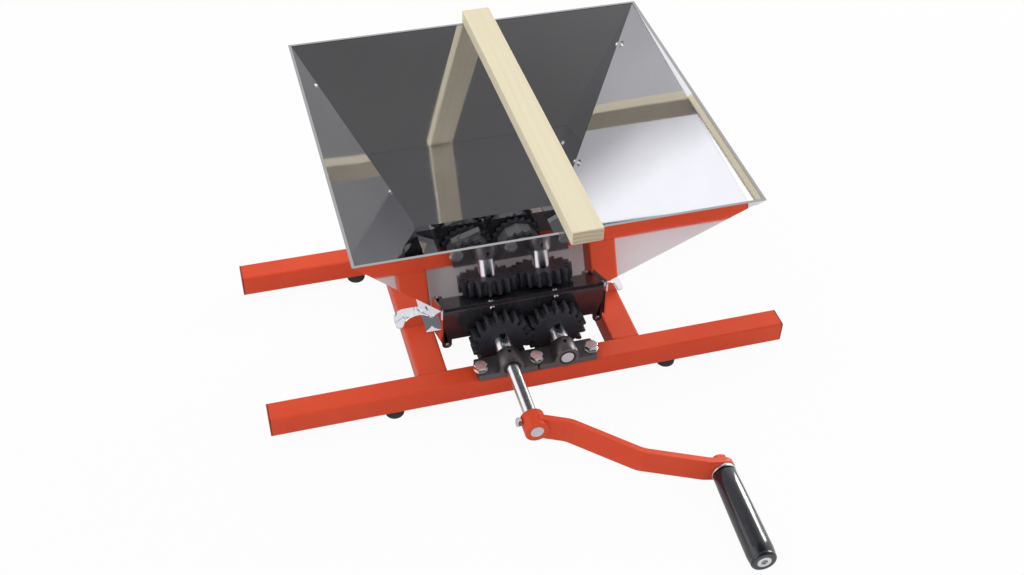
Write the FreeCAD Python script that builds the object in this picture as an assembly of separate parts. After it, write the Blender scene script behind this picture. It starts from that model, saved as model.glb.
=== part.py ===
import FreeCAD, Part
import os
from math import acos, cos, pi, radians, sin, sqrt, tan

# Hand-cranked fruit crusher: a funnel hopper over two geared rollers on an H-shaped tube frame.
# Millimetres. The origin is on the floor, in the middle of the four feet.
# +X points right as seen from the crank, +Y points to the rear, +Z points up.

V = FreeCAD.Vector

# Fits shared by all pieces
running_clearance = 0.05
screw_clearance = 0.05
axial_play = 0.4

# Tube frame
beam_length = 450.0
beam_spacing = 174.0
tube_side = 20.0
tube_wall = 1.5
tube_corner = 2.0
cross_width = 25.0
end_plate_thickness = 1.2
end_plate_plug_depth = 6.0
end_plate_chamfer = 0.4

# Rubber feet and their screws
foot_spacing = 242.0
foot_height = 9.0
foot_radius = 9.0
foot_draft = 1.0
foot_recess_radius = 5.0
foot_recess_depth = 4.5
foot_screw_radius = 2.0
foot_screw_head_radius = 4.0
foot_screw_head_height = 2.5
foot_screw_reach = 5.0

# Hopper: inside sizes of the rim and of the throat, whose rear edge lies further out than its front edge
rim_width = 306.0
rim_depth = 288.0
rim_height = 220.5
throat_width = 140.8
throat_front = 53.6
throat_rear = 65.0
throat_height = 76.0
sheet = 1.0
skirt_height = 10.0
end_skirt_height = 5.4
hem_height = 8.0
seam_flange_width = 14.0
seam_flange_gap = 4.0
seam_rivet_setback = 7.0
seam_rivet_heights = (105.0, 193.0)

# Roller housing
plate_thickness = 2.0
plate_top_gap = 0.2
plate_shoulder_gap = 0.2
plate_wing_bottom = 39.5
plate_web_half_width = 44.0
plate_web_bottom = 25.0
lug_width = 8.4
lug_bottom = 30.0
lug_corner = 4.0
lug_hole_radius = 1.8
lug_hole_inset = 4.7
lug_hole_rise = 4.8
tie_rod_proud = 1.2
tie_rod_chamfer = 0.5
plate_return_depth = 14.0
plate_return_heights = (42.0, 58.0)
side_plate_thickness = 1.5
side_plate_overhang = 3.4
side_plate_top_gap = 0.5
side_plate_foot_half = 31.0
side_plate_corner_height = 12.0
side_flange_root = 7.0
side_flange_width = 22.5
side_flange_middle = -8.75
side_flange_overhang = 6.0
side_flange_front_corner = 4.0
side_flange_rear_corner = 11.0
flange_lip_root_rise = 5.7
flange_lip_rise = 12.4
flange_lip_peak = 14.6
flange_lip_end = 0.6
flange_bolt_setback = 7.0

# Deflector plates beside the rollers
deflector_sheet = 1.5
deflector_edge = 53.5
deflector_edge_height = 59.5
deflector_top_height = 64.0
deflector_tab_bottom = 48.0
deflector_tab_half_length = 34.0
deflector_end_gap = 0.3

# Rivets and screws of the sheet parts
rivet_radius = 1.6
rivet_head_radius = 3.2
rivet_head_height = 1.2
rivet_tail_radius = 2.6
rivet_tail_height = 0.9
deflector_rivet_height = 57.0
deflector_rivet_spacing = 50.0
side_skirt_rivet_spacing = 58.0
side_skirt_rivet_height = 72.0
skirt_screw_height = 68.0
skirt_screw_radius = 1.5
skirt_screw_head_radius = 2.3
skirt_screw_head_height = 0.9
skirt_screw_reach = 0.4
skirt_screw_places = (-28.0, 28.0)
screw_head_taper = 0.7

# Shafts
drive_offset = 1.2
shaft_spacing = 48.0
shaft_rise = 12.0
shaft_radius = 7.5
journal_radius = 5.5
shaft_tail = 6.0
ring_thickness = 1.0
ring_groove_depth = 0.8
ring_width = 2.6
ring_gap = 4.0
key_width = 5.0
key_height = 5.0
key_depth = 3.0
key_inset = 3.0
keyway_clearance = 0.1

# Gears
gear_teeth = 18
gear_width = 12.0
gear_gap = 3.0
gear_backlash = 0.3
pressure_angle = radians(20.0)
addendum_factor = 0.95
dedendum_factor = 1.25

# Rollers: toothed discs between drum spacers
disc_count = 6
disc_pitch = 20.0
disc_rear_setback = 3.1
disc_thickness = 4.0
disc_radius = 23.4
disc_tooth_depth = 3.0
disc_teeth = 20
drum_apothem = 18.0
drum_sides = 10

# Feeder blade on the drive roller
blade_angle = radians(20.0)
blade_thickness = 3.5
blade_width = 6.5
blade_back = 9.0
blade_reach = 18.4
blade_gap_index = 4
blade_screw_radius = 1.6
blade_screw_head_radius = 2.9
blade_screw_head_height = 1.6
blade_screw_reach = 7.0

# Bushes
bush_wall = 2.0
bush_flange_radial = 2.5
rear_bush_flange = 2.0

# Bearing block on the front beam
block_length = 103.5
block_plate = 6.0
block_corner = 1.0
boss_radius = 10.0
boss_front = 3.0
boss_setback = 7.0
shaft_relief = 0.8
oil_hole_radius = 1.5
oil_hole_setback = 5.5
block_bolt_spacing = 48.4
block_bolt_setback = 8.0
block_slot_width = 1.6
bolt_radius = 3.0
bolt_across_flats = 10.0
bolt_head_height = 4.0
bolt_hole_clearance = 0.3
bolt_reach = 9.0
washer_radius = 6.0
washer_thickness = 1.0

# Crank
crank_front_gap = 75.5
hub_radius = 10.0
hub_length = 16.5
set_screw_radius = 2.0
set_screw_across_flats = 7.0
set_screw_head_height = 2.8
set_screw_stand_off = 1.2
set_screw_setback = 5.0
crank_radius = 143.7
crank_drop = 12.0
arm_height = 21.0
arm_thickness = 5.5
arm_root_setback = 4.7
arm_bends = ((25.8, 6.8), (75.8, 41.6), (130.0, 55.9))
arm_bend_radius = 22.0
arm_end_turn = 2.5
grip_length = 87.5
grip_neck_radius = 9.7
grip_swell_radius = 11.0
grip_swell_place = 0.84
grip_end_radius = 8.4
grip_neck_chamfer = 1.0
grip_knuckle = (0.6, 0.25)
handle_bolt_radius = 4.0
handle_head_radius = 5.6
handle_head_height = 7.0
handle_socket_across_flats = 5.0
handle_socket_depth = 4.0
handle_nut_across_flats = 13.0
handle_nut_height = 6.5
handle_washer_radius = 10.2
handle_washer_thickness = 3.2
handle_bolt_tail = 1.5

# Wooden pusher bar
pusher_length = 308.0
pusher_width = 24.0
pusher_thickness = 12.0
pusher_offset = (9.9, -6.5)
pusher_turn = 0.45
pusher_edge = 1.0

# Places that follow from the sizes above
beam_top = foot_height + tube_side
beam_y = beam_spacing / 2
front_face = -beam_y - tube_side / 2
drive_x = drive_offset - shaft_spacing / 2
driven_x = drive_offset + shaft_spacing / 2
shaft_z = beam_top + shaft_rise
throat_x = throat_width / 2
front, rear = -1, 1
throat_edge = {front: throat_front, rear: throat_rear}
funnel_height = rim_height - throat_height
side_slope = (rim_width - throat_width) / 2 / funnel_height
end_slope = {end: (rim_depth / 2 - edge) / funnel_height for end, edge in throat_edge.items()}
skirt_bottom = throat_height - skirt_height
hem_bottom = rim_height - hem_height
side_plate_inner = throat_x + sheet
side_plate_outer = side_plate_inner + side_plate_thickness
cross_inner = side_plate_outer
cross_outer = cross_inner + cross_width
side_plate_front = -throat_front - side_plate_overhang
side_plate_rear = throat_rear + side_plate_overhang
plate_inner = {end: edge - plate_thickness for end, edge in throat_edge.items()}
wall_lap = {end: plate_thickness + sheet * sqrt(1 + slope ** 2) for end, slope in end_slope.items()}
tuck_height = {end: throat_height - wall_lap[end] / slope for end, slope in end_slope.items()}
tie_rod_x = side_plate_inner - lug_hole_inset
tie_rod_z = lug_bottom + lug_hole_rise
gear_rear = -throat_front - gear_gap
gear_front = gear_rear - gear_width
block_rear = front_face + tube_side
boss_face = front_face - boss_front
boss_rear = block_rear - boss_setback
crank_front = front_face - crank_front_gap
hub_rear = crank_front + hub_length
hub_middle = crank_front + hub_length / 2
shaft_shoulder = boss_rear + axial_play
roller_front = axial_play - plate_inner[front]
roller_rear = plate_inner[rear] - axial_play
rear_bush_face = throat_rear + rear_bush_flange
shaft_rear = rear_bush_face + shaft_tail
flange_bolt_x = cross_outer - flange_bolt_setback
arm_root = crank_front + arm_root_setback
arm_end_slope = tan(radians(arm_end_turn))
arm_face = arm_root - arm_bends[-1][1] - (crank_radius - arm_bends[-1][0]) * arm_end_slope
handle_x = drive_x + crank_radius
grip_rear = arm_face - handle_washer_thickness
grip_front = grip_rear - grip_length
last_disc = roller_rear - disc_rear_setback
disc_middles = [last_disc - disc_pitch * i for i in reversed(range(disc_count))]


# Shapes that several pieces use

def box(x0, x1, y0, y1, z0, z1):
    return Part.makeBox(x1 - x0, y1 - y0, z1 - z0, V(x0, y0, z0))


def rod(radius, start, direction, length):
    return Part.makeCylinder(radius, length, start, direction)


def rod_y(radius, x, z, y0, y1):
    return rod(radius, V(x, y0, z), V(0, 1, 0), y1 - y0)


def rod_z(radius, x, y, z0, z1):
    return rod(radius, V(x, y, z0), V(0, 0, 1), z1 - z0)


def prism_y(outline, y0, y1):
    points = [V(x, y0, z) for x, z in outline]
    face = Part.Face(Part.makePolygon(points + points[:1]))
    return face.extrude(V(0, y1 - y0, 0))


def mirror_x(shape):
    return shape.mirror(V(0, 0, 0), V(1, 0, 0))


def span(end, near, far):
    """Limits along Y between two distances from the middle, at the front or at the rear end."""
    return sorted((end * near, end * far))


def edges_along(shape, direction):
    """The straight edges of a shape that run along a direction."""
    found = []
    for edge in shape.Edges:
        run = edge.Vertexes[-1].Point - edge.Vertexes[0].Point
        if run.Length > 0 and abs(run.normalize().dot(direction)) > 1 - 1e-6:
            found.append(edge)
    return found


def hexagon(across_flats, base, axis, height):
    """Hexagonal prism that stands on base and points along axis."""
    side = V(0, 0, 1).cross(axis)
    if side.Length < 0.5:
        side = V(1, 0, 0)
    other = axis.cross(side)
    radius = across_flats / sqrt(3)
    corners = [base + (side * cos(i * pi / 3) + other * sin(i * pi / 3)) * radius for i in range(6)]
    face = Part.Face(Part.makePolygon(corners + corners[:1]))
    return face.extrude(axis * height)


def hex_head(across_flats, base, axis, height):
    """Hexagonal head with its top corners turned off at 30 degrees."""
    top_radius = across_flats / 2
    base_radius = top_radius + height / tan(pi / 6)
    turned = Part.makeCone(base_radius, top_radius, height, base, axis)
    return hexagon(across_flats, base, axis, height).common(turned)


def hex_bolt(seat, axis, reach, radius, across_flats, head_height):
    """Bolt: its head stands on seat along axis, its shank goes reach the other way."""
    head = hex_head(across_flats, seat, axis, head_height)
    return head.fuse(rod(radius, seat, axis * -1, reach)).removeSplitter()


def frame_bolt(seat, reach):
    return hex_bolt(seat, V(0, 0, 1), reach, bolt_radius, bolt_across_flats, bolt_head_height)


def washer(seat, axis, outer, inner, thickness):
    return rod(outer, seat, axis, thickness).cut(rod(inner, seat, axis, thickness))


def rivet(seat, axis, stack):
    """Rivet with its head on seat along axis, through a stack of sheets behind it."""
    head = Part.makeCone(rivet_head_radius, rivet_head_radius / 2, rivet_head_height, seat, axis)
    shank = rod(rivet_radius, seat, axis * -1, stack + rivet_tail_height)
    tail = rod(rivet_tail_radius, seat - axis * stack, axis * -1, rivet_tail_height)
    return head.fuse([shank, tail]).removeSplitter()


def rivet_hole(seat, axis, stack):
    return rod(rivet_radius + screw_clearance, seat + axis * sheet, axis * -1, stack + 2 * sheet)


def pan_screw(seat, axis, radius, head_radius, head_height, reach):
    """Screw with a rounded head on seat along axis and a shank that goes reach the other way."""
    head = Part.makeCone(head_radius, head_radius * screw_head_taper, head_height, seat, axis)
    return head.fuse(rod(radius, seat, axis * -1, reach)).removeSplitter()


def tube(x0, x1, y0, y1, z0, z1, along):
    """Square tube with rounded outer edges and open ends."""
    outer = box(x0, x1, y0, y1, z0, z1)
    outer = outer.makeFillet(tube_corner, edges_along(outer, along))
    in_x = 0 if along.x else tube_wall
    in_y = 0 if along.y else tube_wall
    return outer.cut(box(x0 + in_x, x1 - in_x, y0 + in_y, y1 - in_y, z0 + tube_wall, z1 - tube_wall))


# Tube frame

def foot_places():
    return [(x, y) for x in (-foot_spacing / 2, foot_spacing / 2) for y in (-beam_y, beam_y)]


def beam(y):
    half = beam_length / 2 - end_plate_thickness
    low, high = y - tube_side / 2, y + tube_side / 2
    shape = tube(-half, half, low, high, foot_height, beam_top, V(1, 0, 0))
    for place_x, place_y in foot_places():
        if place_y == y:
            hole_top = foot_height + tube_wall + sheet
            hole_radius = foot_screw_radius + screw_clearance
            shape = shape.cut(rod_z(hole_radius, place_x, y, foot_height - sheet, hole_top))
    return shape


def block_bolt_places():
    y = front_face + block_bolt_setback
    return [V(drive_offset + i * block_bolt_spacing, y, beam_top) for i in (-1, 0, 1)]


def front_beam():
    shape = beam(-beam_y)
    for place in block_bolt_places():
        start = place - V(0, 0, 2 * tube_wall)
        shape = shape.cut(rod(bolt_radius + screw_clearance, start, V(0, 0, 1), 3 * tube_wall))
    return shape


def flange_bolt_hole(low, high):
    return rod_z(bolt_radius + screw_clearance, flange_bolt_x, side_flange_middle, low, high)


def right_cross_member():
    inner_end = beam_y - tube_side / 2
    shape = tube(cross_inner, cross_outer, -inner_end, inner_end, foot_height, beam_top, V(0, 1, 0))
    return shape.cut(flange_bolt_hole(beam_top - 2 * tube_wall, beam_top + tube_wall))


def end_plate(side, y):
    """Plate over the tube's end, with a plug that locates it inside the tube."""
    low, high = y - tube_side / 2, y + tube_side / 2
    end = beam_length / 2
    inner = end - end_plate_thickness
    plate = box(inner, end, low, high, foot_height, beam_top)
    plate = plate.makeFillet(tube_corner, edges_along(plate, V(1, 0, 0)))
    rim = [edge for edge in plate.Edges if edge.BoundBox.XMin > end - end_plate_thickness / 2]
    plate = plate.makeChamfer(end_plate_chamfer, rim)
    inset = tube_wall + screw_clearance
    plug = box(inner - end_plate_plug_depth, inner, low + inset, high - inset,
               foot_height + inset, beam_top - inset)
    whole = plate.fuse(plug).removeSplitter()
    return whole if side > 0 else mirror_x(whole)


def rubber_foot(x, y):
    foot = Part.makeCone(foot_radius - foot_draft, foot_radius, foot_height, V(x, y, 0), V(0, 0, 1))
    foot = foot.cut(rod_z(foot_recess_radius, x, y, 0, foot_recess_depth))
    return foot.cut(rod_z(foot_screw_radius + screw_clearance, x, y, 0, foot_height))


def foot_screw(x, y):
    seat = V(x, y, foot_recess_depth)
    reach = foot_height - foot_recess_depth + foot_screw_reach
    return pan_screw(seat, V(0, 0, -1), foot_screw_radius, foot_screw_head_radius,
                     foot_screw_head_height, reach)


# Hopper

def half_sizes(z, out_x, out_y):
    """Half width of the funnel at a height and its reach at each end, its planes moved out."""
    rise = z - throat_height
    half_x = throat_x + side_slope * rise + out_x * sqrt(1 + side_slope ** 2)
    reach = {end: throat_edge[end] + slope * rise + out_y * sqrt(1 + slope ** 2)
             for end, slope in end_slope.items()}
    return half_x, reach


def funnel(out_x, out_y, low, high):
    wires = []
    for z in (low, high):
        half_x, reach = half_sizes(z, out_x, out_y)
        signs = ((-1, front), (1, front), (1, rear), (-1, rear))
        corners = [V(side * half_x, end * reach[end], z) for side, end in signs]
        wires.append(Part.makePolygon(corners + corners[:1]))
    return Part.makeLoft(wires, True, True)


def seam_rivet_places():
    """Seat on the inside of the right wall, and the direction of the head, for each rivet there."""
    inward = V(-1, 0, side_slope).normalize()
    places = []
    for z in seam_rivet_heights:
        half_x, reach = half_sizes(z, 0, 0)
        for end in (front, rear):
            places.append((V(half_x, end * (reach[end] - seam_rivet_setback), z), inward))
    return places


def side_skirt_rivet_places():
    half = side_skirt_rivet_spacing / 2
    return [(V(throat_x, sign * half, side_skirt_rivet_height), V(-1, 0, 0)) for sign in (-1, 1)]


def right_wall():
    right = box(0, rim_width, -rim_depth, rim_depth, 0, 2 * rim_height)
    slab = funnel(sheet, 0, throat_height, rim_height).cut(funnel(0, 0, throat_height, rim_height))
    hem = funnel(2 * sheet, 0, hem_bottom, rim_height).cut(funnel(sheet, 0, hem_bottom, rim_height))
    skirt = box(throat_x, throat_x + sheet, -throat_front, throat_rear, skirt_bottom, throat_height)
    wall = slab.common(right).fuse([hem.common(right), skirt]).removeSplitter()
    for seat, axis in seam_rivet_places() + side_skirt_rivet_places():
        wall = wall.cut(rivet_hole(seat, axis, 2 * sheet))
    return wall


def end_wall(end):
    """Sloping front or rear wall, whose foot runs on inside its plate and ends in a short skirt."""
    half = box(-rim_width, rim_width, *span(end, 0, rim_depth), 0, 2 * rim_height)
    slab = funnel(2 * sheet, sheet, throat_height, rim_height).cut(
        funnel(2 * sheet, 0, throat_height, rim_height))
    hem = funnel(2 * sheet, 2 * sheet, hem_bottom, rim_height).cut(
        funnel(2 * sheet, sheet, hem_bottom, rim_height))
    low, high = throat_height + seam_flange_gap, hem_bottom - sheet
    flanges = funnel(2 * sheet, 0, low, high).cut(funnel(sheet, 0, low, high))
    flanges = flanges.cut(funnel(3 * sheet, -seam_flange_width, low, high))
    tuck, inner = tuck_height[end], plate_inner[end]
    foot = funnel(2 * sheet, sheet, tuck, throat_height).cut(funnel(2 * sheet, 0, tuck, throat_height))
    foot = foot.common(box(-throat_x, throat_x, *span(end, 0, rim_depth), 0, rim_height))
    skirt = box(-throat_x, throat_x, *span(end, inner - sheet, inner), tuck - end_skirt_height, tuck)
    wall = slab.common(half).fuse([hem.common(half), flanges.common(half), foot, skirt]).removeSplitter()
    for seat, axis in seam_rivet_places():
        hole = rivet_hole(seat, axis, 2 * sheet)
        wall = wall.cut(hole).cut(mirror_x(hole))
    hole_radius = skirt_screw_radius + screw_clearance
    hole_span = span(end, inner - 2 * sheet, throat_edge[end])
    for x in skirt_screw_places:
        wall = wall.cut(rod_y(hole_radius, x, skirt_screw_height, *hole_span))
    return wall


def hopper_rivets():
    right = [rivet(seat, axis, 2 * sheet) for seat, axis in seam_rivet_places()]
    return right + [mirror_x(solid) for solid in right]


# Roller housing

def deflector_rivet_places():
    half = deflector_rivet_spacing / 2
    return [(V(side_plate_outer, sign * half, deflector_rivet_height), V(1, 0, 0)) for sign in (-1, 1)]


def plate_outline(plate_top):
    """Half outline of a housing plate, from its middle round its lug to its right edge and back."""
    shoulder = skirt_bottom - plate_shoulder_gap
    lug_inner = side_plate_inner - lug_width
    return [(0, plate_web_bottom), (plate_web_half_width, plate_web_bottom),
            (plate_web_half_width, plate_wing_bottom), (lug_inner, plate_wing_bottom),
            (lug_inner, lug_bottom), (side_plate_inner, lug_bottom), (side_plate_inner, shoulder),
            (throat_x, shoulder), (throat_x, plate_top), (0, plate_top)]


def housing_plate(end, shaft_hole_radius):
    """Front or rear plate with its side returns and, at the lower corners, its lugs."""
    inner = plate_inner[end]
    thickness = span(end, inner, throat_edge[end])
    half = prism_y(plate_outline(tuck_height[end] - plate_top_gap), *thickness)
    corners = [edge for edge in edges_along(half, V(0, 1, 0))
               if edge.BoundBox.ZMax < lug_bottom + 1e-3 and edge.BoundBox.XMin > plate_web_half_width]
    half = half.makeFillet(lug_corner, corners)
    half = half.cut(rod_y(lug_hole_radius, tie_rod_x, tie_rod_z, *thickness))
    back = box(side_plate_inner - plate_thickness, side_plate_inner,
               *span(end, inner - plate_return_depth, inner), *plate_return_heights)
    half = half.fuse(back)
    plate = half.fuse(mirror_x(half)).removeSplitter()
    for x in skirt_screw_places:
        hole_radius = skirt_screw_radius + screw_clearance
        plate = plate.cut(rod_y(hole_radius, x, skirt_screw_height, *thickness))
    for x in (drive_x, driven_x):
        plate = plate.cut(rod_y(shaft_hole_radius, x, shaft_z, *thickness))
    return plate


def flange_lip(y, flange_top):
    """Arched lip that stands up along the front edge of the flange."""
    root = V(side_plate_outer, y, beam_top + flange_lip_root_rise)
    peak = V(side_plate_outer + flange_lip_peak, y, beam_top + flange_lip_rise)
    end = V(cross_outer + flange_lip_end, y, flange_top)
    arch = Part.Arc(root, peak, end).toShape()
    sides = Part.makePolygon([end, V(end.x, y, beam_top), V(root.x, y, beam_top), root])
    return Part.Face(Part.Wire([arch] + sides.Edges)).extrude(V(0, side_plate_thickness, 0))


def right_side_plate():
    """Side plate, its lower corners cut away, with the flange bent out over the cross-member."""
    top = throat_height - side_plate_top_gap
    corner_top = beam_top + side_plate_corner_height
    outline = [(side_plate_front, top), (side_plate_front, corner_top), (-side_plate_foot_half, beam_top),
               (side_plate_foot_half, beam_top), (side_plate_rear, corner_top), (side_plate_rear, top)]
    points = [V(side_plate_inner, y, z) for y, z in outline]
    plate = Part.Face(Part.makePolygon(points + points[:1])).extrude(V(side_plate_thickness, 0, 0))
    flange_top = beam_top + side_plate_thickness
    root = box(side_plate_inner, side_plate_outer + side_flange_root,
               -side_plate_foot_half, side_plate_foot_half, beam_top, flange_top)
    half = side_flange_width / 2
    tongue = box(side_plate_inner, cross_outer + side_flange_overhang,
                 side_flange_middle - half, side_flange_middle + half, beam_top, flange_top)
    for corner, sign in ((side_flange_front_corner, -1), (side_flange_rear_corner, 1)):
        outer = [edge for edge in edges_along(tongue, V(0, 0, 1)) if edge.BoundBox.XMin > cross_outer]
        near = [edge for edge in outer
                if sign * (edge.BoundBox.YMin - side_flange_middle) > half - corner / 2]
        tongue = tongue.makeFillet(corner, near)
    plate = plate.fuse([root, tongue, flange_lip(side_flange_middle - half, flange_top)]).removeSplitter()
    plate = plate.cut(flange_bolt_hole(beam_top, flange_top))
    for seat, axis in deflector_rivet_places():
        plate = plate.cut(rivet_hole(seat, axis, side_plate_thickness))
    for seat, axis in side_skirt_rivet_places():
        plate = plate.cut(rivet_hole(seat, axis, sheet + side_plate_thickness))
    return plate


def side_skirt_rivets():
    stack = sheet + side_plate_thickness
    right = [rivet(seat, axis, stack) for seat, axis in side_skirt_rivet_places()]
    return right + [mirror_x(solid) for solid in right]


def skirt_screws():
    screws = []
    for end, edge in throat_edge.items():
        for x in skirt_screw_places:
            seat = V(x, end * edge, skirt_screw_height)
            screws.append(pan_screw(seat, V(0, end, 0), skirt_screw_radius, skirt_screw_head_radius,
                                    skirt_screw_head_height, sheet + plate_thickness + skirt_screw_reach))
    return screws


def tie_rod(x):
    """Rod between the lugs of the front and the rear plate, riveted over at both ends."""
    front_end, rear_end = -throat_front - tie_rod_proud, throat_rear + tie_rod_proud
    bar = rod_y(lug_hole_radius - screw_clearance, x, tie_rod_z, front_end, rear_end)
    return bar.makeChamfer(tie_rod_chamfer, [edge for edge in bar.Edges if len(edge.Vertexes) == 1])


def flange_washer():
    hole = bolt_radius + screw_clearance
    seat = V(flange_bolt_x, side_flange_middle, beam_top + side_plate_thickness)
    return washer(seat, V(0, 0, 1), washer_radius, hole, washer_thickness)


def flange_bolt():
    seat = V(flange_bolt_x, side_flange_middle, beam_top + side_plate_thickness + washer_thickness)
    return frame_bolt(seat, bolt_reach)


def right_deflector():
    """Sloping plate from the housing's side to the roller, hung on a tab along the side plate."""
    rise = deflector_top_height - deflector_edge_height
    run = side_plate_inner - deflector_edge
    drop = deflector_sheet * sqrt(1 + (rise / run) ** 2)
    slope = [(deflector_edge, deflector_edge_height), (side_plate_inner, deflector_top_height),
             (side_plate_inner, deflector_top_height - drop),
             (deflector_edge, deflector_edge_height - drop)]
    plate = prism_y(slope, deflector_end_gap - plate_inner[front], plate_inner[rear] - deflector_end_gap)
    tab = box(side_plate_inner - deflector_sheet, side_plate_inner, -deflector_tab_half_length,
              deflector_tab_half_length, deflector_tab_bottom, deflector_top_height - drop / 2)
    plate = plate.fuse(tab).removeSplitter()
    for seat, axis in deflector_rivet_places():
        plate = plate.cut(rivet_hole(seat, axis, side_plate_thickness + deflector_sheet))
    return plate


def deflector_rivets():
    stack = side_plate_thickness + deflector_sheet
    right = [rivet(seat, axis, stack) for seat, axis in deflector_rivet_places()]
    return right + [mirror_x(solid) for solid in right]


# Bearing block and bushes

def oil_hole(x):
    return rod_z(oil_hole_radius, x, boss_rear - oil_hole_setback, shaft_z, shaft_z + 2 * boss_radius)


def bearing_block():
    """Casting with two bosses on a plate; a saw slot lets the middle bolt draw it together."""
    left, right = drive_offset - block_length / 2, drive_offset + block_length / 2
    plate = box(left, right, front_face, block_rear, beam_top, beam_top + block_plate)
    plate = plate.makeFillet(block_corner, edges_along(plate, V(0, 0, 1)))
    for x in (drive_x, driven_x):
        web = box(x - boss_radius, x + boss_radius, front_face, boss_rear, beam_top, shaft_z)
        plate = plate.fuse([web, rod_y(boss_radius, x, shaft_z, boss_face, boss_rear)])
    plate = plate.removeSplitter()
    bush_radius = journal_radius + bush_wall
    for x in (drive_x, driven_x):
        plate = plate.cut(rod_y(bush_radius, x, shaft_z, boss_face, boss_rear)).cut(oil_hole(x))
        plate = plate.cut(rod_y(shaft_radius + shaft_relief, x, shaft_z, boss_rear, block_rear))
    for place in block_bolt_places():
        plate = plate.cut(rod(bolt_radius + bolt_hole_clearance, place, V(0, 0, 1), block_plate))
    slot_half = block_slot_width / 2
    slot_end = front_face + block_bolt_setback
    return plate.cut(box(drive_offset - slot_half, drive_offset + slot_half, front_face, slot_end,
                         beam_top, beam_top + block_plate))


def block_bush(x):
    bush = rod_y(journal_radius + bush_wall, x, shaft_z, boss_face, boss_rear)
    bore = rod_y(journal_radius + running_clearance, x, shaft_z, boss_face, boss_rear)
    return bush.cut(bore).cut(oil_hole(x))


def block_washer(place):
    seat = place + V(0, 0, block_plate)
    return washer(seat, V(0, 0, 1), washer_radius, bolt_radius + screw_clearance, washer_thickness)


def block_bolt(place):
    seat = place + V(0, 0, block_plate + washer_thickness)
    return frame_bolt(seat, block_plate + washer_thickness + bolt_reach)


def flanged_bush(x, bore_radius, face, seat, inner):
    """Bush in a housing plate: its flange fills face to seat, its body goes on to inner."""
    outer = bore_radius + bush_wall
    flange = rod_y(outer + bush_flange_radial, x, shaft_z, min(face, seat), max(face, seat))
    body = rod_y(outer, x, shaft_z, min(seat, inner), max(seat, inner))
    bore = rod_y(bore_radius + running_clearance, x, shaft_z, min(face, inner), max(face, inner))
    return flange.fuse(body).removeSplitter().cut(bore)


def front_plate_bush(x):
    return flanged_bush(x, shaft_radius, gear_rear + axial_play, -throat_front, -plate_inner[front])


def rear_plate_bush(x):
    return flanged_bush(x, journal_radius, rear_bush_face, throat_rear, plate_inner[rear])


# Shafts, keys, rings and gears

def key_seat(x, clearance):
    """Block of the key over the shaft, grown by a clearance for its keyways."""
    low = shaft_z + shaft_radius - key_depth - clearance
    half = key_width / 2 + clearance
    return box(x - half, x + half, gear_front, gear_rear, low, low + key_height + 2 * clearance)


def gear_key(x):
    seat = key_seat(x, 0.0)
    return seat.common(box(x - shaft_radius, x + shaft_radius, gear_front + key_inset, gear_rear,
                           shaft_z, shaft_z + 2 * shaft_radius))


def ring_start():
    return rear_bush_face + axial_play


def shaft(x, front_tip):
    main = rod_y(shaft_radius, x, shaft_z, shaft_shoulder, roller_rear)
    journals = rod_y(journal_radius, x, shaft_z, front_tip, shaft_rear)
    shape = main.fuse(journals).removeSplitter().cut(key_seat(x, keyway_clearance))
    groove_end = ring_start() + ring_thickness
    groove = rod_y(journal_radius + ring_groove_depth, x, shaft_z, ring_start(), groove_end)
    core = rod_y(journal_radius - ring_groove_depth, x, shaft_z, ring_start(), groove_end)
    return shape.cut(groove.cut(core))


def retaining_ring(x):
    inner = journal_radius - ring_groove_depth + running_clearance
    outer = inner + ring_width
    start = V(x, ring_start() + running_clearance, shaft_z)
    thickness = ring_thickness - 2 * running_clearance
    ring = washer(start, V(0, 1, 0), outer, inner, thickness)
    half = ring_gap / 2
    return ring.cut(box(x - half, x + half, ring_start(), ring_start() + ring_thickness,
                        shaft_z - outer, shaft_z))


def involute(angle):
    return tan(angle) - angle


def gear(x, phase):
    """Spur gear: straight flanks below the base circle, one arc for each involute flank above it."""
    pitch = shaft_spacing / 2
    gear_module = shaft_spacing / gear_teeth
    base = pitch * cos(pressure_angle)
    tip = pitch + addendum_factor * gear_module
    root = pitch - dedendum_factor * gear_module
    middle = (base + tip) / 2
    half_tooth = pi / (2 * gear_teeth) - gear_backlash / (2 * pitch)

    def point(radius, angle):
        return V(x + radius * cos(angle), gear_front, shaft_z + radius * sin(angle))

    def half_angle(radius):
        return half_tooth + involute(pressure_angle) - involute(acos(min(1.0, base / radius)))

    edges = []
    step = 2 * pi / gear_teeth
    for i in range(gear_teeth):
        centre = phase + i * step
        low, mid, high = half_angle(base), half_angle(middle), half_angle(tip)
        rising = [point(base, centre - low), point(middle, centre - mid), point(tip, centre - high)]
        falling = [point(tip, centre + high), point(middle, centre + mid), point(base, centre + low)]
        foot_in, foot_out = point(root, centre - low), point(root, centre + low)
        next_foot = point(root, centre + step - low)
        edges.append(Part.makeLine(foot_in, rising[0]))
        edges.append(Part.Arc(*rising).toShape())
        edges.append(Part.Arc(rising[-1], point(tip, centre), falling[0]).toShape())
        edges.append(Part.Arc(*falling).toShape())
        edges.append(Part.makeLine(falling[-1], foot_out))
        edges.append(Part.Arc(foot_out, point(root, centre + step / 2), next_foot).toShape())
    blank = Part.Face(Part.Wire(edges)).extrude(V(0, gear_width, 0))
    bore = rod_y(shaft_radius + running_clearance, x, shaft_z, gear_front, gear_rear)
    return blank.cut(bore).cut(key_seat(x, keyway_clearance))


# Rollers

def roller_bore(x):
    return rod_y(shaft_radius + running_clearance, x, shaft_z, roller_front, roller_rear)


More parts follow.
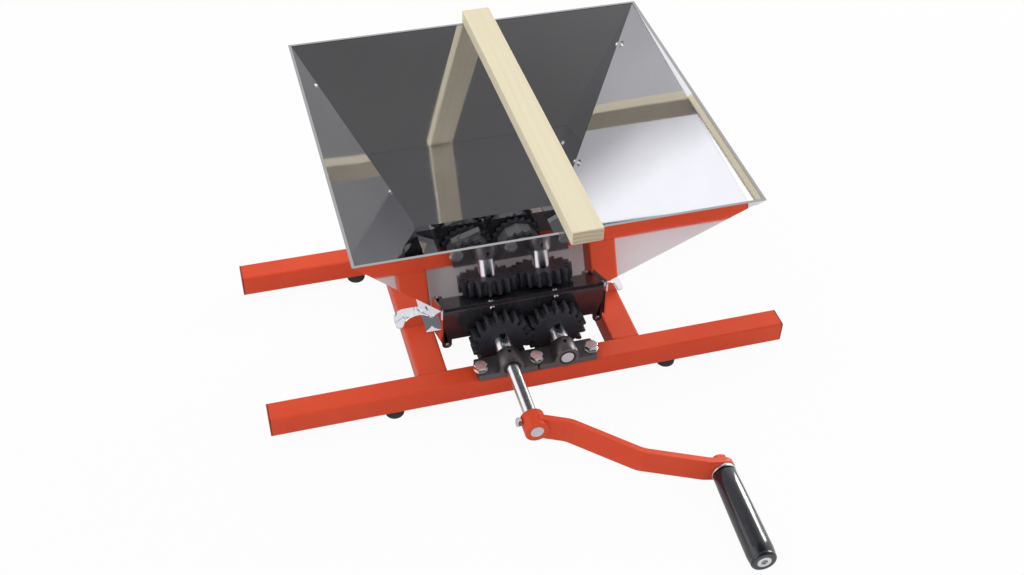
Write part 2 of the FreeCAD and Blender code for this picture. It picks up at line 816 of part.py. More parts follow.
def toothed_disc(x, middle):
    """Disc with pointed teeth all round."""
    outline = []
    step = pi / disc_teeth
    for i in range(2 * disc_teeth):
        radius = disc_radius - disc_tooth_depth * (i % 2)
        outline.append((x + radius * cos(i * step), shaft_z + radius * sin(i * step)))
    half = disc_thickness / 2
    return prism_y(outline, middle - half, middle + half).cut(roller_bore(x))


def spacer_spans():
    half = disc_thickness / 2
    starts = [roller_front] + [middle + half for middle in disc_middles]
    ends = [middle - half for middle in disc_middles] + [roller_rear]
    return list(zip(starts, ends))


def drum_spacer(x, y0, y1):
    """Drum of flat facets, one of which faces square to the feeder blade."""
    corner = drum_apothem / cos(pi / drum_sides)
    first = pi / 2 + blade_angle + pi / drum_sides
    angles = [first + i * 2 * pi / drum_sides for i in range(drum_sides)]
    outline = [(x + corner * cos(angle), shaft_z + corner * sin(angle)) for angle in angles]
    return prism_y(outline, y0, y1).cut(roller_bore(x))


def blade_frame():
    """Direction along the blade, its outward direction, and the middle of its seat on the drum."""
    along = V(cos(blade_angle), 0, sin(blade_angle))
    out = V(-sin(blade_angle), 0, cos(blade_angle))
    y0, y1 = spacer_spans()[blade_gap_index + 1]
    return along, out, V(drive_x, (y0 + y1) / 2, shaft_z) + out * drum_apothem


def feeder_blade():
    along, out, seat = blade_frame()
    across = V(0, blade_width / 2, 0)
    corners = [seat - along * blade_back - across, seat + along * blade_reach - across,
               seat + along * blade_reach + across, seat - along * blade_back + across]
    face = Part.Face(Part.makePolygon(corners + corners[:1]))
    blade = face.extrude(out * blade_thickness)
    return blade.cut(rod(blade_screw_radius + screw_clearance, seat, out, blade_thickness))


def feeder_blade_screw():
    along, out, seat = blade_frame()
    return pan_screw(seat + out * blade_thickness, out, blade_screw_radius, blade_screw_head_radius,
                     blade_screw_head_height, blade_thickness + blade_screw_reach)


def drive_spacers():
    along, out, seat = blade_frame()
    hole = rod(blade_screw_radius + screw_clearance, seat, out * -1, blade_screw_reach)
    return [drum_spacer(drive_x, y0, y1).cut(hole) for y0, y1 in spacer_spans()]


# Crank

def turned_down(shape):
    """Turn a crank piece, modelled level, to the angle at which the crank rests."""
    turned = shape.copy()
    turned.rotate(V(drive_x, 0, shaft_z), V(0, 1, 0), crank_drop)
    return turned


def on_arm_end(shape):
    """Turn a handle piece, modelled square to the shaft, with the end of the arm that carries it."""
    turned = shape.copy()
    turned.rotate(V(handle_x, arm_face, shaft_z), V(0, 0, 1), -arm_end_turn)
    return turned


def crank_hub():
    hub = rod_y(hub_radius, drive_x, shaft_z, crank_front, hub_rear)
    hub = hub.cut(rod_y(journal_radius + running_clearance, drive_x, shaft_z, crank_front, hub_rear))
    start = V(drive_x, hub_rear - set_screw_setback, shaft_z)
    hole = rod(set_screw_radius + screw_clearance, start, V(-1, 0, 0), hub_radius + sheet)
    return turned_down(hub.cut(hole))


def crank_set_screw():
    seat = V(drive_x - hub_radius - set_screw_stand_off, hub_rear - set_screw_setback, shaft_z)
    reach = hub_radius + set_screw_stand_off - journal_radius - running_clearance
    screw = hex_bolt(seat, V(-1, 0, 0), reach, set_screw_radius, set_screw_across_flats,
                     set_screw_head_height)
    return turned_down(screw)


def crank_arm():
    """Flat bar, cranked forward in three bends and rounded at the handle end."""
    end = crank_radius + arm_height / 2
    last_run, last_depth = arm_bends[-1]
    front = [(0.0, 0.0)] + list(arm_bends) + [(end, last_depth + (end - last_run) * arm_end_slope)]
    rear = []
    for i, (run, depth) in enumerate(front):
        before, after = front[max(i - 1, 0)], front[min(i + 1, len(front) - 1)]
        directions = [V(b[0] - a[0], b[1] - a[1], 0).normalize()
                      for a, b in ((before, front[i]), (front[i], after)) if a != b]
        mean = (directions[0] + directions[-1]).normalize()
        normal = V(mean.y, -mean.x, 0)
        offset = arm_thickness / mean.dot(directions[0])
        rear.append((run + normal.x * offset, depth + normal.y * offset))
    low = shaft_z - arm_height / 2
    outline = front + rear[::-1]
    points = [V(drive_x + run, arm_root - depth, low) for run, depth in outline]
    bar = Part.Face(Part.makePolygon(points + points[:1])).extrude(V(0, 0, arm_height))
    bend_runs = [front[i][0] for i in (1, 2, 3)] + [rear[i][0] for i in (1, 2, 3)]
    bends = [edge for edge in edges_along(bar, V(0, 0, 1))
             if min(abs(edge.BoundBox.XMin - drive_x - run) for run in bend_runs) < 1e-3]
    bar = bar.makeFillet(arm_bend_radius, bends)
    far_front = arm_face - crank_radius
    keep = box(drive_x - crank_radius, handle_x, far_front, hub_rear, low, low + arm_height)
    bar = bar.common(keep.fuse(rod_y(arm_height / 2, handle_x, shaft_z, far_front, hub_rear)))
    bar = bar.cut(rod_y(hub_radius, drive_x, shaft_z, far_front, hub_rear + crank_radius))
    hole_radius = handle_bolt_radius + screw_clearance
    hole = rod_y(hole_radius, handle_x, shaft_z, arm_face - arm_thickness, arm_face + 2 * arm_thickness)
    return turned_down(max(bar.cut(on_arm_end(hole)).Solids, key=lambda solid: solid.Volume))


def handle_bolt():
    """Socket-head bolt through grip, washer and arm; its head sits in the grip's end."""
    tail = arm_face + arm_thickness + handle_nut_height + handle_bolt_tail
    bolt = rod_y(handle_head_radius, handle_x, shaft_z, grip_front, grip_front + handle_head_height)
    bolt = bolt.fuse(rod_y(handle_bolt_radius, handle_x, shaft_z, grip_front, tail)).removeSplitter()
    socket_base = V(handle_x, grip_front, shaft_z)
    socket = hexagon(handle_socket_across_flats, socket_base, V(0, 1, 0), handle_socket_depth)
    return turned_down(on_arm_end(bolt.cut(socket)))


def handle_nut():
    base = V(handle_x, arm_face + arm_thickness, shaft_z)
    nut = hex_head(handle_nut_across_flats, base, V(0, 1, 0), handle_nut_height)
    bore = rod(handle_bolt_radius + screw_clearance, base, V(0, 1, 0), handle_nut_height)
    return turned_down(on_arm_end(nut.cut(bore)))


def handle_washer():
    seat = V(handle_x, arm_face, shaft_z)
    inner = handle_bolt_radius + screw_clearance
    ring = washer(seat, V(0, -1, 0), handle_washer_radius, inner, handle_washer_thickness)
    return turned_down(on_arm_end(ring))


def handle_grip():
    """Turned grip: it swells towards its free end, which is rounded over."""
    rear = grip_rear - axial_play / 2
    swell = grip_rear - grip_length * grip_swell_place
    growth = grip_swell_radius - grip_neck_radius
    end_round = grip_swell_radius - grip_end_radius

    def point(radius, y):
        return V(handle_x + radius, y, shaft_z)

    rear_rim = point(grip_neck_radius - grip_neck_chamfer, rear)
    neck = point(grip_neck_radius, rear - grip_neck_chamfer)
    waist = point(grip_neck_radius + growth / 2 + growth / 8, (rear + swell) / 2)
    widest = point(grip_swell_radius, swell)
    shoulder = point(grip_swell_radius - end_round / 4, grip_front + end_round)
    bulge = point(grip_swell_radius, (swell + grip_front + end_round) / 2)
    out_share, along_share = grip_knuckle
    knuckle = point(grip_end_radius + out_share * end_round, grip_front + along_share * end_round)
    nose = point(grip_end_radius, grip_front)
    edges = [
        Part.makeLine(point(0, rear), rear_rim),
        Part.makeLine(rear_rim, neck),
        Part.Arc(neck, waist, widest).toShape(),
        Part.Arc(widest, bulge, shoulder).toShape(),
        Part.Arc(shoulder, knuckle, nose).toShape(),
        Part.makeLine(nose, point(0, grip_front)),
        Part.makeLine(point(0, grip_front), point(0, rear)),
    ]
    grip = Part.Face(Part.Wire(edges)).revolve(V(handle_x, 0, shaft_z), V(0, 1, 0), 360)
    head_end = grip_front + handle_head_height + axial_play
    grip = grip.cut(rod_y(handle_head_radius + running_clearance, handle_x, shaft_z, grip_front, head_end))
    grip = grip.cut(rod_y(handle_bolt_radius + running_clearance, handle_x, shaft_z, grip_front, rear))
    return turned_down(on_arm_end(grip))


# Wooden pusher

def wooden_pusher():
    x, y = pusher_offset
    bar = box(x - pusher_width / 2, x + pusher_width / 2, y - pusher_length / 2, y + pusher_length / 2,
              rim_height, rim_height + pusher_thickness)
    bar = bar.makeFillet(pusher_edge, bar.Edges)
    bar.rotate(V(x, y, 0), V(0, 0, 1), pusher_turn)
    return bar


group = Part.makeCompound
nodes = {
    "front_beam": front_beam(),
    "rear_beam": beam(beam_y),
    "right_cross_member": right_cross_member(),
    "left_cross_member": mirror_x(right_cross_member()),
    "beam_end_plates": group([end_plate(side, y) for side in (-1, 1) for y in (-beam_y, beam_y)]),
    "rubber_feet": group([rubber_foot(x, y) for x, y in foot_places()]),
    "foot_screws": group([foot_screw(x, y) for x, y in foot_places()]),
    "hopper_front_wall": end_wall(front),
    "hopper_rear_wall": end_wall(rear),
    "hopper_right_wall": right_wall(),
    "hopper_left_wall": mirror_x(right_wall()),
    "hopper_rivets": group(hopper_rivets()),
    "housing_front_plate": housing_plate(front, shaft_radius + bush_wall),
    "housing_rear_plate": housing_plate(rear, journal_radius + bush_wall),
    "right_side_plate": right_side_plate(),
    "left_side_plate": mirror_x(right_side_plate()),
    "side_skirt_rivets": group(side_skirt_rivets()),
    "skirt_screws": group(skirt_screws()),
    "tie_rods": group([tie_rod(-tie_rod_x), tie_rod(tie_rod_x)]),
    "flange_bolts": group([flange_bolt(), mirror_x(flange_bolt())]),
    "flange_washers": group([flange_washer(), mirror_x(flange_washer())]),
    "right_deflector": right_deflector(),
    "left_deflector": mirror_x(right_deflector()),
    "deflector_rivets": group(deflector_rivets()),
    "bearing_block": bearing_block(),
    "block_bushes": group([block_bush(x) for x in (drive_x, driven_x)]),
    "block_washers": group([block_washer(place) for place in block_bolt_places()]),
    "block_bolts": group([block_bolt(place) for place in block_bolt_places()]),
    "front_plate_bushes": group([front_plate_bush(x) for x in (drive_x, driven_x)]),
    "rear_plate_bushes": group([rear_plate_bush(x) for x in (drive_x, driven_x)]),
    "drive_shaft": shaft(drive_x, crank_front),
    "driven_shaft": shaft(driven_x, boss_face),
    "drive_shaft_ring": retaining_ring(drive_x),
    "driven_shaft_ring": retaining_ring(driven_x),
    "drive_gear": gear(drive_x, 0.0),
    "driven_gear": gear(driven_x, pi / gear_teeth),
    "drive_gear_key": gear_key(drive_x),
    "driven_gear_key": gear_key(driven_x),
    "drive_roller_discs": group([toothed_disc(drive_x, middle) for middle in disc_middles]),
    "driven_roller_discs": group([toothed_disc(driven_x, middle) for middle in disc_middles]),
    "drive_roller_drums": group(drive_spacers()),
    "driven_roller_drums": group([drum_spacer(driven_x, y0, y1) for y0, y1 in spacer_spans()]),
    "feeder_blade": feeder_blade(),
    "feeder_blade_screw": feeder_blade_screw(),
    "crank_hub": crank_hub(),
    "crank_set_screw": crank_set_screw(),
    "crank_arm": crank_arm(),
    "handle_bolt": handle_bolt(),
    "handle_nut": handle_nut(),
    "handle_washer": handle_washer(),
    "handle_grip": handle_grip(),
    "wooden_pusher": wooden_pusher(),
}

os.makedirs("parts", exist_ok=True)
for name, shape in nodes.items():
    shape.exportStep(f"parts/{name}.step")
    print(f"{name}: {len(shape.Solids)} solids, {shape.Volume / 1000:.2f} cm3, valid {shape.isValid()}")
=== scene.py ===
import math
import bpy
from mathutils import Matrix, Vector


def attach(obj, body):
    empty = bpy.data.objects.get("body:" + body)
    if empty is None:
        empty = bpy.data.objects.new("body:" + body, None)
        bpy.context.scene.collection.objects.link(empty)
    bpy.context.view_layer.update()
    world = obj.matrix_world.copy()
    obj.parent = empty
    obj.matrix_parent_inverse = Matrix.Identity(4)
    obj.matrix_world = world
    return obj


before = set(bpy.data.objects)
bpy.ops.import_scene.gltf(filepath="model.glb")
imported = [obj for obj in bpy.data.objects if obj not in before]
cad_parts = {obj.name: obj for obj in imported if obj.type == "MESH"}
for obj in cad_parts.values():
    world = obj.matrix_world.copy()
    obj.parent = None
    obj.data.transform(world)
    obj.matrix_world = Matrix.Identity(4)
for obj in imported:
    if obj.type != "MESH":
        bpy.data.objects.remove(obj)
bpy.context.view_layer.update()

# Tube frame. Two long beams and two cross-members of square steel tube, closed with end plates,
# welded into an H and powder coated orange-red. The coat is glossy, with the faint orange peel
# of baked powder, and a dark line of painted shade is laid on the rims of the end plates.


class Wire:
    """A socket of a finish, so that finishes are written as sums and products."""

    def __init__(self, tree, socket=None):
        self.tree = tree
        self.socket = socket

    def node(self, kind, settings=None, inputs=None, output=0):
        """Adds a node: its settings first, then a value or a link for each input."""
        made = self.tree.nodes.new("ShaderNode" + kind)
        for name, value in (settings or {}).items():
            setattr(made, name, value)
        for key, value in (inputs or {}).items():
            if isinstance(value, Wire):
                self.tree.links.new(value.socket, made.inputs[key])
            else:
                made.inputs[key].default_value = value
        return Wire(self.tree, made.outputs[output])

    def maths(self, operation, first, second):
        return self.node("Math", {"operation": operation}, {0: first, 1: second})

    def __add__(self, other):
        return self.maths("ADD", self, other)

    def __radd__(self, other):
        return self.maths("ADD", other, self)

    def __sub__(self, other):
        return self.maths("SUBTRACT", self, other)

    def __rsub__(self, other):
        return self.maths("SUBTRACT", other, self)

    def __mul__(self, other):
        return self.maths("MULTIPLY", self, other)

    def __rmul__(self, other):
        return self.maths("MULTIPLY", other, self)

    def __abs__(self):
        return self.node("Math", {"operation": "ABSOLUTE"}, {0: self})


def tone(red, green, blue):
    """A display colour, 0 to 255, as the linear colour of a shader socket."""
    def linear(level):
        level = level / 255
        return level / 12.92 if level <= 0.04045 else ((level + 0.055) / 1.055) ** 2.4
    return (linear(red), linear(green), linear(blue), 1)


def new_finish(name, sockets):
    """A material and its place in the row frame; constant sockets are set on the shader."""
    finish = bpy.data.materials.new(name)
    finish.use_nodes = True
    tree = finish.node_tree
    for key, value in sockets.items():
        tree.nodes["Principled BSDF"].inputs[key].default_value = value
    return finish, Wire(tree).node("TexCoord", output="Object")


def feed(finish, socket, wire):
    """Links what varies over the surface to one socket of the shader."""
    finish.node_tree.links.new(wire.socket, finish.node_tree.nodes["Principled BSDF"].inputs[socket])


def grain(place, scale, stretch=(1, 1, 1), detail=3):
    """Soft noise of about 1 / scale metres, drawn out where stretch is below 1."""
    drawn = place.node("VectorMath", {"operation": "MULTIPLY"}, {0: place, 1: stretch})
    return place.node("TexNoise", {}, {"Vector": drawn, "Scale": scale, "Detail": detail})


def levels(wire, low, high, dark, light):
    """Spreads the part of a wire between low and high over dark to light."""
    limits = {0: wire, 1: low, 2: high, 3: dark, 4: light}
    return wire.node("MapRange", {"clamp": True}, limits)


def coordinate(vector, axis):
    """One part of a vector: 0 to the right, 1 to the rear, 2 up."""
    return vector.node("SeparateXYZ", {}, {0: vector}, axis)


def faces_along(place, axis):
    """How far a face looks along an axis, either way: 0 is across it, 1 is straight along it."""
    return abs(coordinate(place.node("NewGeometry", output="Normal"), axis))


def blend(share, first, second):
    """Mixes two colours, each a colour or a wire, by a share."""
    return share.node("Mix", {"data_type": "RGBA"}, {0: share, 6: first, 7: second}, 2)


def bump(height, depth, strength=1.0):
    """Relief of a depth in metres."""
    return height.node("Bump", {}, {"Strength": strength, "Distance": depth, "Height": height})


def dress(finish, *names):
    """Gives a finish to CAD nodes through their own material slots."""
    for name in names:
        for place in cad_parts[name].material_slots:
            place.material = finish


def new_piece(name, verts, faces, finish, body, slot):
    """A mesh of the object's own, smooth shaded, that rides on a body."""
    mesh = bpy.data.meshes.new(name)
    mesh.from_pydata(verts, [], faces)
    mesh.materials.append(finish)
    mesh.polygons.foreach_set("use_smooth", [True] * len(mesh.polygons))
    piece = bpy.data.objects.new(name, mesh)
    bpy.context.scene.collection.objects.link(piece)
    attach(piece, body)


def bead_mesh(paths, radius, ripple):
    """Verts and faces of weld beads: a round bead along each path, laid drop by drop."""
    verts, faces = [], []
    sides, steps_per_drop, thinnest_end, neck = 10, 4, 0.25, 0.86
    aslant = Vector((0.31, 0.52, 0.79))
    for path in paths:
        points = [Vector(point) for point in path]
        runs = [(b - a).length for a, b in zip(points, points[1:])]
        steps = max(6, round(sum(runs) / (ripple / steps_per_drop)))
        rings = []
        for i in range(steps + 1):
            left = sum(runs) * i / steps
            at = 0
            while at < len(runs) - 1 and left > runs[at]:
                left -= runs[at]
                at += 1
            along = (points[at + 1] - points[at]).normalized()
            centre = points[at] + along * left
            drop = (sum(runs) * i / steps / ripple) % 1.0
            ends = min(1.0, 3.0 * min(i, steps - i) / steps + thinnest_end)
            size = radius * ends * (neck + (1 - neck) * math.sqrt(1 - (2 * drop - 1) ** 2))
            aside = along.cross(aslant).normalized()
            up = along.cross(aside)
            ring = []
            for j in range(sides):
                turn = 2 * math.pi * j / sides
                ring.append(len(verts))
                verts.append(centre + (aside * math.cos(turn) + up * math.sin(turn)) * size)
            rings.append(ring)
        for one, two in zip(rings, rings[1:]):
            for j in range(sides):
                k = (j + 1) % sides
                faces.append((one[j], one[k], two[k], two[j]))
        faces.append(tuple(rings[0][::-1]))
        faces.append(tuple(rings[-1]))
    return verts, faces


paint, place = new_finish("orange_powder_coat", {"Specular IOR Level": 0.25})
cloud = grain(place, 24)
peel = grain(place, 620, detail=2)
coat = blend(levels(cloud, 0.3, 0.7, 0, 1), tone(222, 74, 40), tone(228, 80, 45))
beam_end, plate_thickness, painted_shade_fade = 0.225, 0.0012, 0.0003
plate_back = beam_end - plate_thickness
# Painted shade: the rims of the end plates are darkened, as a dark line along each beam end.
end_plate_painted_shade = levels(abs(coordinate(place, 0)), plate_back - painted_shade_fade, plate_back, 0, 0.85)
end_plate_painted_shade = end_plate_painted_shade * levels(faces_along(place, 0), 0.8, 0.9, 1, 0)
feed(paint, "Base Color", blend(end_plate_painted_shade, coat, tone(112, 42, 28)))
feed(paint, "Roughness", levels(peel + cloud, 0.7, 1.3, 0.28, 0.4))
feed(paint, "Normal", bump(peel, 0.0001, 0.3))
dress(paint, "front_beam", "rear_beam", "left_cross_member", "right_cross_member", "beam_end_plates")

beam_inside, cross_near, cross_far, tube_low, tube_high = 0.077, 0.0733, 0.0983, 0.009, 0.029
bead_radius, bead_ripple, corner = 0.0014, 0.0019, 0.0018
face_gap, flat_sink, upright_short = 0.0001, 0.0009, 0.0022
seams = []
for side in (-1, 1):
    for end in (-1, 1):
        y = end * (beam_inside + face_gap)
        near, far = side * (cross_near + corner), side * (cross_far - corner)
        for z in (tube_high - flat_sink, tube_low + flat_sink):
            seams.append([(near, y, z), (far, y, z)])
        for x in (side * cross_near, side * cross_far):
            seams.append([(x, y, tube_low + upright_short), (x, y, tube_high - upright_short)])
new_piece("frame_weld_beads", *bead_mesh(seams, bead_radius, bead_ripple), paint, "frame", "orange_paint")

# Feet. Four tapered rubber feet under the beams, each held by a pan-head screw in a recess.
# The rubber is dark grey, dull, and dusty at the rim that meets the table.


def soften(width, *names):
    """Rounds the sharp edges of CAD nodes by a width, so that they catch the light."""
    for name in names:
        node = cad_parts[name]
        weld = node.modifiers.new("join_faces", "WELD")
        weld.merge_threshold = 0.000002
        rounding = node.modifiers.new("round_edges", "BEVEL")
        rounding.width = width
        rounding.segments = 2
        rounding.limit_method = "ANGLE"
        rounding.angle_limit = math.radians(35)
        rounding.harden_normals = True


foot_rubber, place = new_finish("foot_rubber", {"Specular IOR Level": 0.3})
dust = grain(place, 260)
dusty_rim = 0.004
scuff = levels(coordinate(place, 2), 0.0, dusty_rim, 0.5, 0) + levels(dust, 0.45, 0.7, 0, 0.4)
feed(foot_rubber, "Base Color", blend(scuff, tone(54, 57, 61), tone(86, 89, 92)))
feed(foot_rubber, "Roughness", levels(dust, 0.3, 0.7, 0.62, 0.85))
feed(foot_rubber, "Normal", bump(dust, 0.0001, 0.4))
dress(foot_rubber, "rubber_feet")
soften(0.0006, "rubber_feet")

# Bright fasteners. Screws, bolts, washers and rivets, zinc plated: a clear bright grey that
# is a little uneven from the plating bath.
zinc, place = new_finish("bright_zinc", {"Metallic": 1.0})
bath = grain(place, 340)
feed(zinc, "Base Color", blend(bath, tone(222, 223, 226), tone(238, 238, 238)))
feed(zinc, "Roughness", levels(bath, 0.3, 0.7, 0.16, 0.24))
feed(zinc, "Normal", bump(bath, 0.00002, 0.2))
fasteners = ("foot_screws", "skirt_screws", "flange_bolts", "flange_washers", "block_bolts",
             "block_washers", "hopper_rivets", "side_skirt_rivets", "tie_rods", "deflector_rivets",
             "feeder_blade_screw", "crank_set_screw", "handle_bolt", "handle_washer")
dress(zinc, *fasteners)
soften(0.0003, *fasteners)

# Roller housing. Front and rear plate of black coated steel, folded back along the sides.
# The coat is semi-gloss, and the shafts and bolts were fitted through it afterwards.
black_coat, place = new_finish("black_plate_coat", {"Specular IOR Level": 1.0})
cloud = grain(place, 45)
feed(black_coat, "Base Color", blend(cloud, tone(38, 39, 43), tone(48, 49, 54)))
feed(black_coat, "Roughness", levels(cloud, 0.3, 0.7, 0.1, 0.16))
feed(black_coat, "Normal", bump(grain(place, 600, detail=1), 0.00004, 0.2))
dress(black_coat, "housing_front_plate", "housing_rear_plate")
soften(0.0004, "housing_front_plate", "housing_rear_plate")

# Polished sheet. Side plates, deflectors and the four hopper walls are cut and folded from
# mirror-polished stainless sheet, riveted at the seams. The belt leaves a faint grain up and down
# each wall, the thin sheet is never quite flat, and the colour is darker along the top of the folded rim.
sheet_steel, place = new_finish("polished_stainless", {"Metallic": 1.0})
belt = grain(place, 900, (1, 1, 0.03), 2)
haze = grain(place, 16)
polish = blend(haze, tone(228, 228, 232), tone(240, 240, 243))
rim_low, rim_high = 0.2196, 0.2203
# The sheet's colour is darker along the top of the folded rim.
folded_rim = levels(coordinate(place, 2), rim_low, rim_high, 0, 1)
feed(sheet_steel, "Base Color", blend(folded_rim, polish, tone(168, 168, 171)))
feed(sheet_steel, "Roughness", levels(belt * 0.5 + haze * 0.5, 0.35, 0.65, 0.02, 0.06))
feed(sheet_steel, "Normal", bump(grain(place, 9, detail=0), 0.0002))
sheets = ("left_side_plate", "right_side_plate", "left_deflector", "right_deflector",
          "hopper_front_wall", "hopper_rear_wall", "hopper_left_wall", "hopper_right_wall")
dress(sheet_steel, *sheets)

# Bearing block and bushes. A small dark iron casting bolted to the front beam; its bosses are
# dressed and oiled. The bushes pressed into it and into the plates are oil-dark sintered iron.
casting, place = new_finish("dark_casting", {"Metallic": 0.8})
pits = grain(place, 420)
stain = grain(place, 90)
feed(casting, "Base Color", blend(stain, tone(92, 88, 90), tone(118, 113, 115)))
feed(casting, "Roughness", levels(stain + pits, 0.7, 1.3, 0.3, 0.46))
feed(casting, "Normal", bump(pits, 0.0002, 0.35))
dress(casting, "bearing_block")
soften(0.0006, "bearing_block")
bush_iron, place = new_finish("sintered_bush", {"Metallic": 0.9})
pores = grain(place, 1500, detail=1)
feed(bush_iron, "Base Color", blend(pores, tone(44, 40, 38), tone(78, 72, 66)))
feed(bush_iron, "Roughness", levels(pores, 0.3, 0.7, 0.36, 0.5))
dress(bush_iron, "block_bushes", "front_plate_bushes", "rear_plate_bushes")

# Shafts. Ground steel bars, with the fine rings of the grinding wheel round them, and the
# retaining rings that hold them at the rear.
ground_steel, place = new_finish("ground_steel", {"Metallic": 1.0})
rings = grain(place, 2200, (0.05, 1, 0.05), 1)
feed(ground_steel, "Base Color", blend(rings, tone(206, 206, 210), tone(226, 226, 229)))
feed(ground_steel, "Roughness", levels(rings, 0.3, 0.7, 0.16, 0.26))
feed(ground_steel, "Normal", bump(rings, 0.00002, 0.3))
dress(ground_steel, "drive_shaft", "driven_shaft", "drive_shaft_ring", "driven_shaft_ring")
soften(0.0004, "drive_shaft", "driven_shaft")

# Gears and rollers. Steel gears with their keys and toothed discs, blackened and oiled, with the
# drums of dull grey metal between the discs, all threaded onto the two shafts.
black_iron, place = new_finish("blackened_steel", {"Metallic": 0.2})
mottle = grain(place, 180)
feed(black_iron, "Base Color", blend(mottle, tone(54, 55, 61), tone(68, 69, 76)))
feed(black_iron, "Roughness", levels(mottle, 0.3, 0.7, 0.3, 0.46))
feed(black_iron, "Normal", bump(grain(place, 900, detail=1), 0.00008, 0.4))
blackened = ("drive_gear", "driven_gear", "drive_gear_key", "driven_gear_key",
             "drive_roller_discs", "driven_roller_discs")
dress(black_iron, *blackened)
soften(0.0003, *blackened)
drum_metal, place = new_finish("drum_metal", {"Metallic": 0.7})
brushed = grain(place, 800, (1, 0.05, 1), 2)
feed(drum_metal, "Base Color", blend(brushed, tone(140, 138, 140), tone(168, 166, 168)))
feed(drum_metal, "Roughness", levels(brushed, 0.3, 0.7, 0.34, 0.5))
dress(drum_metal, "drive_roller_drums", "driven_roller_drums")

# Feeder blade. A bright steel bar screwed flat onto one drum, which draws the fruit in; its
# ground face still shows the lines of the wheel.
blade_steel, place = new_finish("blade_steel", {"Metallic": 1.0})
lines = grain(place, 1500, (0.04, 1, 1), 1)
feed(blade_steel, "Base Color", blend(lines, tone(214, 214, 216), tone(234, 234, 235)))
feed(blade_steel, "Roughness", levels(lines, 0.3, 0.7, 0.4, 0.5))
dress(blade_steel, "feeder_blade")
soften(0.0003, "feeder_blade")

# Crank. A steel hub and a bent flat arm, welded front and rear, then coated with the same powder
# as the frame, and so is the nut behind the arm.
dress(paint, "crank_hub", "crank_arm", "handle_nut")
soften(0.0006, "crank_hub", "crank_arm", "handle_nut")
hub_axis, hub_radius, crank_drop = Vector((-0.0228, 0, 0.041)), 0.01, math.radians(12)
arm_root, arm_slope, arm_depth = -0.1678, 6.8 / 25.8, 0.00569
hub_bead_radius, seam_start, seam_step, seam_points = 0.0013, -66, 11, 13
hub_seams = []
for y in (arm_root, arm_root + arm_depth):
    seam = []
    for i in range(seam_points):
        turn = math.radians(seam_start + seam_step * i)
        run, rise = hub_radius * math.cos(turn), hub_radius * math.sin(turn)
        place_on_hub = Vector((run, y - arm_slope * run, rise))
        seam.append(hub_axis + Matrix.Rotation(crank_drop, 3, "Y") @ place_on_hub)
    hub_seams.append(seam)
new_piece("crank_weld_beads", *bead_mesh(hub_seams, hub_bead_radius, bead_ripple), paint,
          "drive_train", "orange_paint")

# Grip. Glossy black plastic, moulded in one piece, that turns on its bolt; the mould line is
# polished off, and the surface flows a little with the moulding.
grip_plastic, place = new_finish("grip_plastic", {"Coat Weight": 0.5, "Coat Roughness": 0.04})
flow = grain(place, 60, (1, 0.2, 1))
feed(grip_plastic, "Base Color", blend(flow, tone(17, 19, 25), tone(27, 30, 38)))
feed(grip_plastic, "Roughness", levels(flow, 0.3, 0.7, 0.12, 0.2))
dress(grip_plastic, "handle_grip")
soften(0.0003, "handle_grip")

# Wooden pusher. A planed bar of pale wood that lies loose across the rim. Straight grain runs
# along it, and the sawn ends are darker and show the year rings.
wood, place = new_finish("pale_wood", {"Specular IOR Level": 0.3})
streaks = grain(place, 260, (1, 0.02, 1), 4)
bands = grain(place, 60, (1, 0.04, 1), 2)
fibre = blend(levels(streaks, 0.35, 0.7, 0, 1), tone(234, 224, 196), tone(229, 217, 187))
fibre = blend(levels(bands, 0.45, 0.75, 0, 0.3), fibre, tone(224, 210, 178))
end_face = levels(faces_along(place, 1), 0.8, 0.95, 0, 1)
year = place.node("TexWave", {"wave_type": "RINGS", "rings_direction": "Y"},
                  {"Vector": place, "Scale": 90.0, "Distortion": 2.0})
sawn = blend(year, tone(186, 170, 143), tone(204, 188, 161))
feed(wood, "Base Color", blend(end_face, fibre, sawn))
feed(wood, "Roughness", levels(streaks, 0.3, 0.7, 0.5, 0.68))
feed(wood, "Normal", bump(streaks, 0.0001, 0.2))
dress(wood, "wooden_pusher")

# The room. A plain pale floor and a white backdrop, a soft key lamp overhead and a tall strip lamp
# at the right, and a camera at the photo's viewpoint. Polished metal also shows a white board at
# the left, and the dim ceiling and dim room in front of the object.


def ray_kinds(tree):
    """Wires that are 1 for the rays of the eye or of glass, and for the rays of mirrors."""
    path = Wire(tree)
    seen, through_glass, mirrored = (
        path.node("LightPath", output=kind)
        for kind in ("Is Camera Ray", "Is Transmission Ray", "Is Glossy Ray"))
    return seen + through_glass, mirrored


floor_finish, place = new_finish("pale_floor", {"Roughness": 0.9, "Specular IOR Level": 0.0})
feed(floor_finish, "Base Color", blend(grain(place, 2), tone(228, 228, 230), tone(233, 233, 234)))
tree = floor_finish.node_tree
eye, mirror = ray_kinds(tree)
glow = eye.node("Emission", {}, {"Strength": 1.0})
lit = Wire(tree, tree.nodes["Principled BSDF"].outputs[0])
white_to_eye, white_to_mirror = 0.95, 0.08
sweep = eye.node("MixShader", {}, {0: eye * white_to_eye + mirror * white_to_mirror, 1: lit, 2: glow})
tree.links.new(sweep.socket, tree.nodes["Material Output"].inputs["Surface"])
reach = 6.0
floor_mesh = bpy.data.meshes.new("floor")
corners = [(-reach, -reach, 0), (reach, -reach, 0), (reach, reach, 0), (-reach, reach, 0)]
floor_mesh.from_pydata(corners, [], [(0, 1, 2, 3)])
floor_mesh.materials.append(floor_finish)
floor = bpy.data.objects.new("floor", floor_mesh)
bpy.context.scene.collection.objects.link(floor)

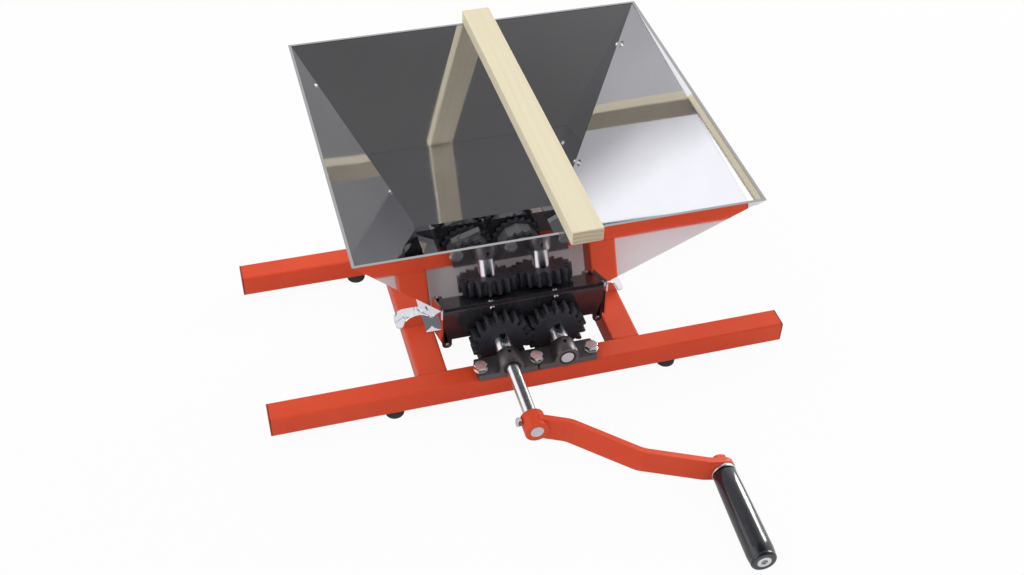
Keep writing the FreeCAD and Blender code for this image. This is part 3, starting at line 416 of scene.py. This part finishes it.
world = bpy.data.worlds.new("studio")
world.use_nodes = True
bpy.context.scene.world = world
tree = world.node_tree
tree.nodes["Background"].inputs["Color"].default_value = (1, 1, 1, 1)
eye, mirror = ray_kinds(tree)
direction = Wire(tree).node("TexCoord", output="Generated")
towards_right, towards_rear, towards_ceiling = (coordinate(direction, axis) for axis in range(3))
front_light, ceiling_light, board_light, room_light = 0.1, 0.12, 1.35, 0.73
room = levels(towards_rear, -0.9, 0.1, front_light, 1.0)
room = room * levels(towards_ceiling, 0.66, 0.9, 1.0, ceiling_light)
board = levels(towards_right, -0.69, -0.66, 1.0, 0.0)
room = room * (1 - board) + board * board_light
scattered = levels(Wire(tree).node("LightPath", output="Diffuse Depth"), 0.0, 1.0, 0.0, 1.0)
room = room * (1 - scattered) + scattered
strength = eye + mirror * room + (1 - eye - mirror) * room_light
tree.links.new(strength.socket, tree.nodes["Background"].inputs["Strength"])


def lamp(name, place, aim, width, height, watts, mirrored):
    """A soft lamp that faces aim, and that polished metal shows or not."""
    light = bpy.data.lights.new(name, "AREA")
    light.shape = "RECTANGLE"
    light.size = width
    light.size_y = height
    light.energy = watts
    holder = bpy.data.objects.new(name, light)
    turned = (Vector(place) - Vector(aim)).to_track_quat("Z", "Y")
    holder.matrix_world = Matrix.Translation(place) @ turned.to_matrix().to_4x4()
    holder.visible_glossy = mirrored
    bpy.context.scene.collection.objects.link(holder)


middle = (0, 0, 0.12)
lamp("key", (-0.9, -0.1, 1.9), middle, 1.4, 1.4, 11.0, False)
lamp("strip", (1.85, 1.0, 0.65), middle, 0.3, 1.2, 16.0, True)

stand = Vector((-0.2447, -0.8216, 0.8259))
turn, tilt, roll = math.radians(-16.9), math.radians(42.611), math.radians(1.777)
back = Vector((math.sin(turn) * math.cos(tilt), -math.cos(turn) * math.cos(tilt), math.sin(tilt)))
level = Vector((math.cos(turn), math.sin(turn), 0))
upright = back.cross(level)
right = math.cos(roll) * level + math.sin(roll) * upright
above = -math.sin(roll) * level + math.cos(roll) * upright
lens = bpy.data.cameras.new("camera")
lens.lens = 46.14
lens.sensor_width = 36.0
camera = bpy.data.objects.new("camera", lens)
camera.matrix_world = Matrix((
    (right.x, above.x, back.x, stand.x),
    (right.y, above.y, back.y, stand.y),
    (right.z, above.z, back.z, stand.z),
    (0, 0, 0, 1),
))
bpy.context.scene.collection.objects.link(camera)
bpy.context.scene.camera = camera
bpy.context.scene.view_settings.view_transform = "Standard"
